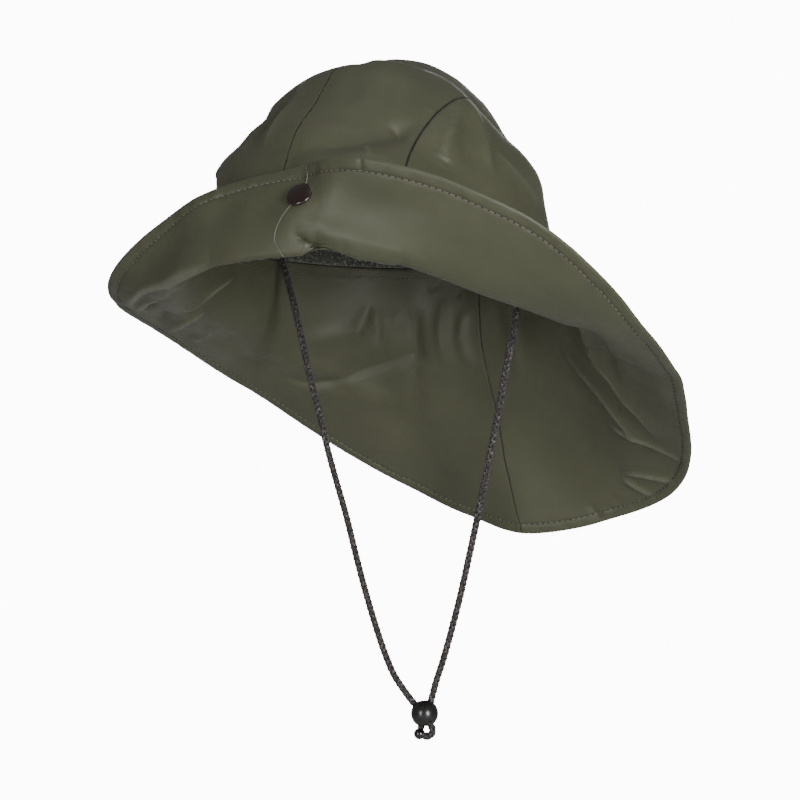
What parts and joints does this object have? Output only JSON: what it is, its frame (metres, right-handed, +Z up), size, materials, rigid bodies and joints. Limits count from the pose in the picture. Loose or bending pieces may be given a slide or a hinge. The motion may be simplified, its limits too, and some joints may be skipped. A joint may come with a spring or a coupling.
{
  "type": "sou'wester rain hat",
  "caption": "Soft four-panel rain hat with a towelling sweatband, a brim snapped up in front and long behind, and a braided chin cord with a bead.",
  "frame": {"origin": "middle of the head opening, level with the seam between crown and brim, where the hat sits on a head", "axes": "-Y the front of the hat, +X the wearer's left, +Z up through the crown"},
  "size_m": [0.3254, 0.2793, 0.3806],
  "materials": {
    "shell_fabric": "smooth coated rain cloth, dark olive, soft semi-matte sheen",
    "towelling": "dark grey-green melange towelling, matt",
    "snap_enamel": "glossy dark brown enamel",
    "cord_braid": "braided cord, taupe brown with paler picks",
    "bead_plastic": "black, semi-gloss",
    "stop_plastic": "black, glossy"
  },
  "bodies": {
    "root": {"crown_centre_left": "shell_fabric", "crown_centre_right": "shell_fabric", "crown_side_left": "shell_fabric", "crown_side_right": "shell_fabric", "sweatband": "towelling", "brim_left": "shell_fabric", "brim_right": "shell_fabric", "snap_cap": "snap_enamel", "snap_post": "snap_enamel", "chin_cord_left": "cord_braid", "chin_cord_right": "cord_braid", "cord_tail_left": "cord_braid", "cord_tail_right": "cord_braid", "cord_bead": "bead_plastic", "cord_stop": "stop_plastic"}
  },
  "joints": []
}
